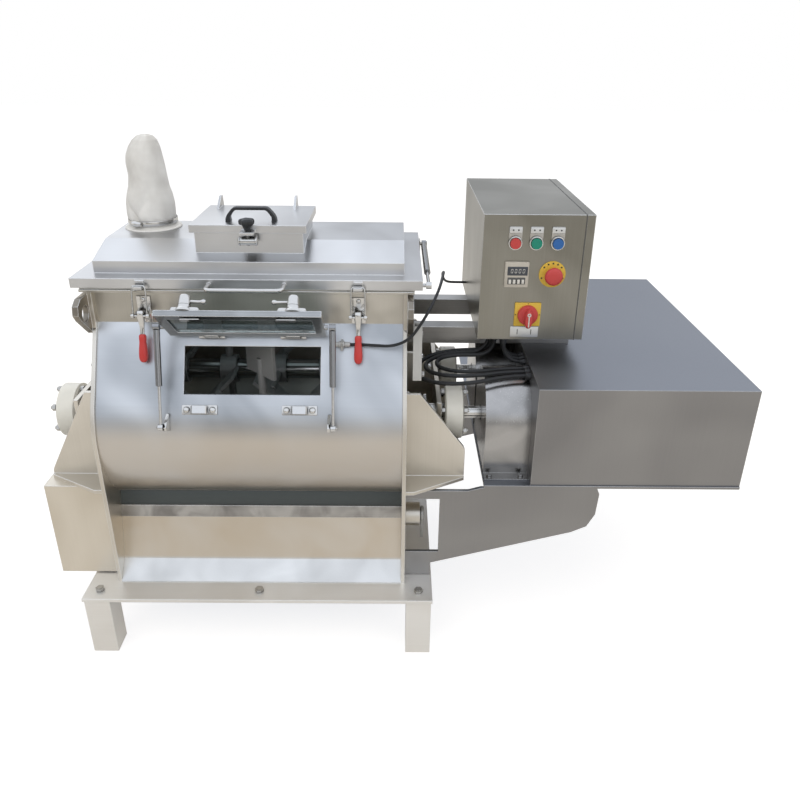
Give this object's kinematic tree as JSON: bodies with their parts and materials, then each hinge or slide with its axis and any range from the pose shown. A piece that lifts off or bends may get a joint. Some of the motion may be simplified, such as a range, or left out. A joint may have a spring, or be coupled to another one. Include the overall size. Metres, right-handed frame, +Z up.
{
  "type": "double shaft paddle mixer",
  "caption": "Stainless batch mixer: W-shaped trough with paddle rotors, hinged lid with hatch, window, bomb-bay discharge flaps and a covered side drive.",
  "frame": {"origin": "floor level, midway between the four foot holes and under the middle of the trough", "axes": "+X along the rotor shafts towards the drive, +Y from the window side to the back, +Z up"},
  "size_m": [1.503, 0.879, 1.063],
  "materials": {
    "stainless": "satin",
    "polished_steel": "polished",
    "bearing_paint": "semi-gloss",
    "drive_paint": "semi-gloss",
    "window_glass": "clear",
    "white_silicone": "matte",
    "filter_cloth": "matte",
    "black_plastic": "matte",
    "red_plastic": "gloss",
    "green_plastic": "gloss",
    "blue_plastic": "gloss",
    "cable_rubber": "matte"
  },
  "bodies": {
    "mixer_body": {"base_frame": "stainless", "left_end_plate": "stainless", "right_end_plate": "stainless", "trough": "stainless", "discharge_skirts": "stainless", "bearing_brackets": "stainless", "bearing_housings": "bearing_paint", "fasteners": "polished_steel", "shaft_glands": "stainless", "drive_support": "stainless", "drive_cover": "stainless", "coupling_guards": "stainless", "drive_unit": "drive_paint", "control_box_rails": "stainless", "control_box": "stainless", "panel_fittings": "black_plastic", "actuator_cover": "stainless", "flap_actuators": "drive_paint", "safety_sensors": "stainless", "trough_fittings": "stainless", "control_cable_1": "cable_rubber", "control_cable_2": "cable_rubber", "control_cable_3": "cable_rubber", "control_cable_4": "cable_rubber", "control_cable_5": "cable_rubber", "control_cable_6": "cable_rubber", "sensor_cable": "cable_rubber"},
    "front_rotor": {"front_shaft": "polished_steel", "front_paddles": "stainless", "front_coupling": "drive_paint"},
    "rear_rotor": {"rear_shaft": "polished_steel", "rear_paddles": "stainless", "rear_coupling": "drive_paint"},
    "lid_body": {"lid": "stainless", "lid_gasket": "white_silicone", "vent_collar": "stainless", "vent_bag": "filter_cloth"},
    "hatch": {"hatch_cover": "stainless", "hatch_handle": "black_plastic"},
    "hatch_screw": {"hatch_knob": "black_plastic"},
    "lid_strut_tube_body": {"lid_strut_tube": "polished_steel"},
    "lid_strut_rod_body": {"lid_strut_rod": "polished_steel"},
    "window": {"window_frame": "stainless", "window_glass": "window_glass"},
    "left_window_latch": {"window_latch_left": "polished_steel"},
    "right_window_latch": {"window_latch_right": "polished_steel"},
    "window_rods": {"window_strut_rods": "polished_steel"},
    "window_tubes": {"window_strut_tubes": "polished_steel"},
    "left_toggle": {"left_latch_lever": "polished_steel"},
    "left_loop": {"left_latch_loop": "polished_steel"},
    "right_toggle": {"right_latch_lever": "polished_steel"},
    "right_loop": {"right_latch_loop": "polished_steel"},
    "front_flap": {"front_discharge_flap": "stainless"},
    "rear_flap": {"rear_discharge_flap": "stainless"},
    "stop_push": {"stop_button": "red_plastic"},
    "start_push": {"start_button": "green_plastic"},
    "discharge_push": {"discharge_button": "blue_plastic"},
    "emergency_push": {"emergency_stop": "red_plastic"},
    "isolator": {"isolator_handle": "red_plastic"},
    "control_door": {"control_box_door": "stainless"}
  },
  "joints": [
    {"name": "front_rotor_turn", "type": "hinge", "parent": "mixer_body", "child": "front_rotor", "pos_m": [0, -0.12, 0.49], "axis": [1, 0, 0], "continuous": true},
    {"name": "rear_rotor_turn", "type": "hinge", "parent": "mixer_body", "child": "rear_rotor", "pos_m": [0, 0.12, 0.49], "axis": [1, 0, 0], "continuous": true},
    {"name": "lid_opens", "type": "hinge", "parent": "mixer_body", "child": "lid_body", "pos_m": [0, 0.2175, 0.806], "axis": [-1, 0, 0], "range_deg": [0, 80]},
    {"name": "hatch_opens", "type": "hinge", "parent": "lid_body", "child": "hatch", "pos_m": [0, 0.064, 0.903], "axis": [-1, 0, 0], "range_deg": [0, 110]},
    {"name": "hatch_screw_turns", "type": "hinge", "parent": "hatch", "child": "hatch_screw", "pos_m": [0, -0.155, 0.91], "axis": [0, 0, 1], "continuous": true},
    {"name": "lid_strut_swings", "type": "hinge", "parent": "mixer_body", "child": "lid_strut_tube_body", "pos_m": [0.363, 0.138, 0.812], "axis": [-1, 0, 0], "range_deg": [0, 92.3]},
    {"name": "lid_strut_extends", "type": "slide", "parent": "lid_strut_tube_body", "child": "lid_strut_rod_body", "axis": [0, -1, 0], "range_m": [0, 0.069]},
    {"name": "window_closes", "type": "hinge", "parent": "mixer_body", "child": "window", "pos_m": [0, -0.21816, 0.70689], "axis": [1, 0, 0], "range_deg": [0, 100]},
    {"name": "left_window_latch_turns", "type": "hinge", "parent": "window", "child": "left_window_latch", "pos_m": [-0.103, -0.30124, 0.78703], "axis": [0, 0.6293, 0.7771], "range_deg": [-90, 0]},
    {"name": "right_window_latch_turns", "type": "hinge", "parent": "window", "child": "right_window_latch", "pos_m": [0.103, -0.30124, 0.78703], "axis": [0, 0.6293, 0.7771], "range_deg": [0, 90]},
    {"name": "window_struts_swing", "type": "hinge", "parent": "mixer_body", "child": "window_rods", "pos_m": [0, -0.314, 0.547], "axis": [-1, 0, 0], "range_deg": [0, 15]},
    {"name": "window_struts_shorten", "type": "slide", "parent": "window_rods", "child": "window_tubes", "axis": [0, -0.2759, -0.9612], "range_m": [0, 0.0698]},
    {"name": "left_toggle_lever_lifts", "type": "hinge", "parent": "mixer_body", "child": "left_toggle", "pos_m": [-0.212, -0.217, 0.753], "axis": [-1, 0, 0], "range_deg": [0, 110]},
    {"name": "left_toggle_loop_swings", "type": "hinge", "parent": "left_toggle", "child": "left_loop", "pos_m": [-0.212, -0.229, 0.753], "axis": [1, 0, 0], "range_deg": [0, 132]},
    {"name": "right_toggle_lever_lifts", "type": "hinge", "parent": "mixer_body", "child": "right_toggle", "pos_m": [0.222, -0.217, 0.753], "axis": [-1, 0, 0], "range_deg": [0, 110]},
    {"name": "right_toggle_loop_swings", "type": "hinge", "parent": "right_toggle", "child": "right_loop", "pos_m": [0.222, -0.229, 0.753], "axis": [1, 0, 0], "range_deg": [0, 132]},
    {"name": "front_flap_opens", "type": "hinge", "parent": "mixer_body", "child": "front_flap", "pos_m": [0, -0.222, 0.281], "axis": [-1, 0, 0], "range_deg": [0, 70]},
    {"name": "rear_flap_opens", "type": "hinge", "parent": "mixer_body", "child": "rear_flap", "pos_m": [0, 0.222, 0.281], "axis": [-1, 0, 0], "range_deg": [-70, 0]},
    {"name": "stop_button_presses", "type": "slide", "parent": "mixer_body", "child": "stop_push", "axis": [0, 1, 0], "range_m": [0, 0.004], "stiffness_N_per_m": 400},
    {"name": "start_button_presses", "type": "slide", "parent": "mixer_body", "child": "start_push", "axis": [0, 1, 0], "range_m": [0, 0.004], "stiffness_N_per_m": 400},
    {"name": "discharge_button_presses", "type": "slide", "parent": "mixer_body", "child": "discharge_push", "axis": [0, 1, 0], "range_m": [0, 0.004], "stiffness_N_per_m": 400},
    {"name": "emergency_stop_presses", "type": "slide", "parent": "mixer_body", "child": "emergency_push", "axis": [0, 1, 0], "range_m": [0, 0.005], "stiffness_N_per_m": 600},
    {"name": "isolator_turns", "type": "hinge", "parent": "mixer_body", "child": "isolator", "pos_m": [0.584, -0.098, 0.717], "axis": [0, 1, 0], "range_deg": [0, 90]},
    {"name": "control_door_opens", "type": "hinge", "parent": "mixer_body", "child": "control_door", "pos_m": [0.695, 0.35, 0.795], "axis": [0, 0, 1], "range_deg": [0, 120]}
  ],
  "couplings": [
    {"joint": "rear_rotor_turn", "follows": "front_rotor_turn", "ratio": -1},
    {"joint": "lid_strut_swings", "follows": "lid_opens", "ratio": 1.1478},
    {"joint": "lid_strut_extends", "follows": "lid_opens", "m_per_rad": 0.04899},
    {"joint": "window_struts_swing", "follows": "window_closes", "ratio": 0.14837},
    {"joint": "window_struts_shorten", "follows": "window_closes", "m_per_rad": 0.0397},
    {"joint": "left_toggle_loop_swings", "follows": "left_toggle_lever_lifts", "ratio": 1.2},
    {"joint": "right_toggle_loop_swings", "follows": "right_toggle_lever_lifts", "ratio": 1.2},
    {"joint": "rear_flap_opens", "follows": "front_flap_opens", "ratio": -1}
  ]
}
